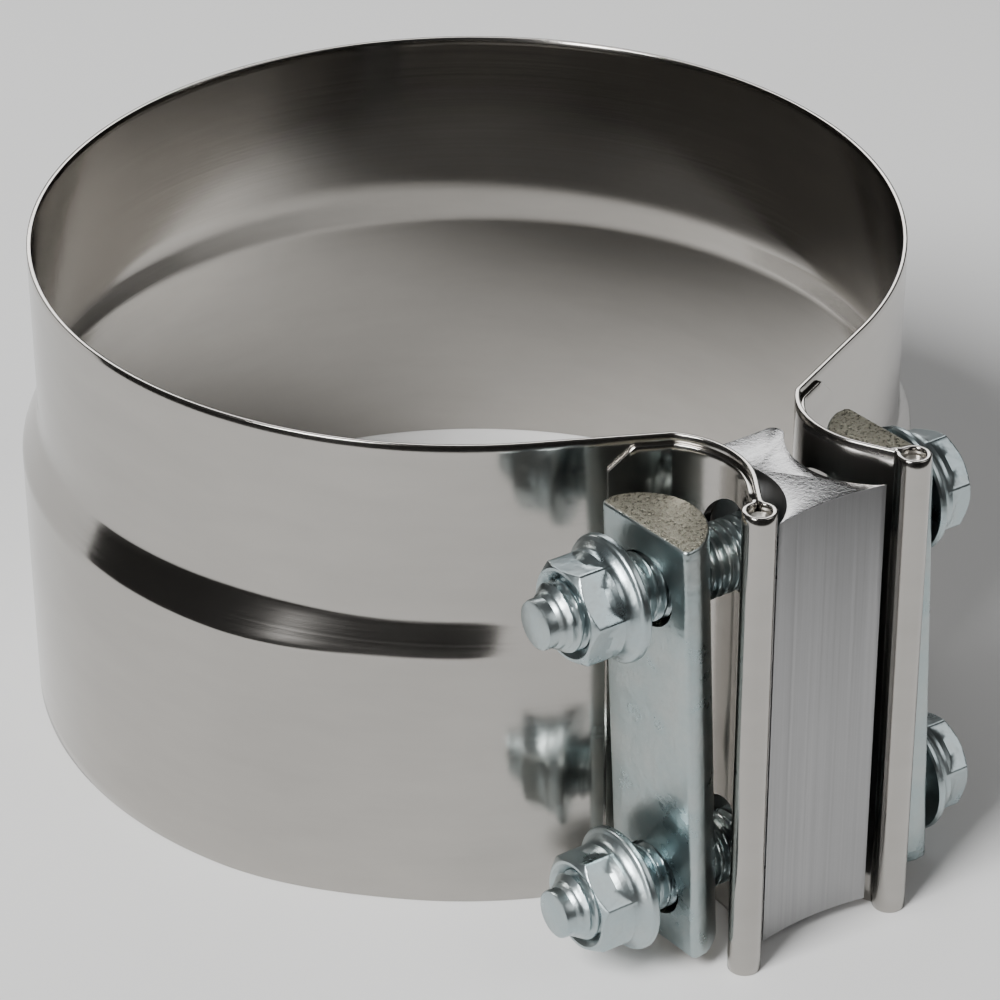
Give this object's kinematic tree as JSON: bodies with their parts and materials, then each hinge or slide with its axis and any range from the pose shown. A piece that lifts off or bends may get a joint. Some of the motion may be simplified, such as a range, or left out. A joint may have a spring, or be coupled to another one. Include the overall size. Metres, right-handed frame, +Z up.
{
  "type": "pipe band clamp",
  "caption": "Wide stepped steel band clamp that joins two lapped pipes, closed by bolts through half-round bars and a waisted reaction block.",
  "frame": {"origin": "on the ring's axis, in the plane of the lower rim, at the large pipe's end of the band", "axes": "+Z up along the pipes' common axis, from the large seat to the small seat; -Y points at the closure; +X runs along the bolts towards their heads"},
  "size_m": [0.1348, 0.1585, 0.0748],
  "materials": {
    "stainless_strip": "bright annealed stainless strip, nearly mirror-like, with faint rolling marks",
    "steel_rod": "drawn steel rod, dull ends",
    "steel_block": "extruded section, satin with fine draw lines, sawn ends",
    "zinc_bar": "bright zinc plate with a cold blue tint, sheared ends",
    "zinc_fastener": "bright zinc plate with a cold blue tint"
  },
  "bodies": {
    "band": {"band": "stainless_strip", "nut_side_rod": "steel_rod", "head_side_rod": "steel_rod"},
    "reaction_block": {"reaction_block": "steel_block"},
    "nut_side_bar": {"nut_side_bar": "zinc_bar"},
    "head_side_bar": {"head_side_bar": "zinc_bar"},
    "upper_bolt": {"upper_bolt": "zinc_fastener"},
    "upper_nut": {"upper_nut": "zinc_fastener"},
    "lower_bolt": {"lower_bolt": "zinc_fastener"},
    "lower_nut": {"lower_nut": "zinc_fastener"}
  },
  "joints": [
    {"name": "block_float", "type": "slide", "parent": "band", "child": "reaction_block", "axis": [1, 0, 0], "range_m": [-0.0008, 0.0008]},
    {"name": "nut_side_bar_slide", "type": "slide", "parent": "band", "child": "nut_side_bar", "axis": [1, 0, 0], "range_m": [-0.0005, 0.0022]},
    {"name": "head_side_bar_slide", "type": "slide", "parent": "band", "child": "head_side_bar", "axis": [1, 0, 0], "range_m": [-0.0012, 0]},
    {"name": "upper_bolt_turn", "type": "hinge", "parent": "band", "child": "upper_bolt", "pos_m": [0, -0.0774, 0.0608], "axis": [-1, 0, 0], "range_deg": [-3425, 545]},
    {"name": "upper_nut_travel", "type": "slide", "parent": "band", "child": "upper_nut", "axis": [1, 0, 0], "range_m": [-0.01425, 0.00225]},
    {"name": "lower_bolt_turn", "type": "hinge", "parent": "band", "child": "lower_bolt", "pos_m": [0, -0.0774, 0.0122], "axis": [-1, 0, 0], "range_deg": [-3425, 545]},
    {"name": "lower_nut_travel", "type": "slide", "parent": "band", "child": "lower_nut", "axis": [1, 0, 0], "range_m": [-0.01425, 0.00225]}
  ],
  "couplings": [
    {"joint": "upper_bolt_turn", "follows": "upper_nut_travel", "rad_per_m": 4188.8},
    {"joint": "lower_bolt_turn", "follows": "lower_nut_travel", "rad_per_m": 4188.8}
  ]
}
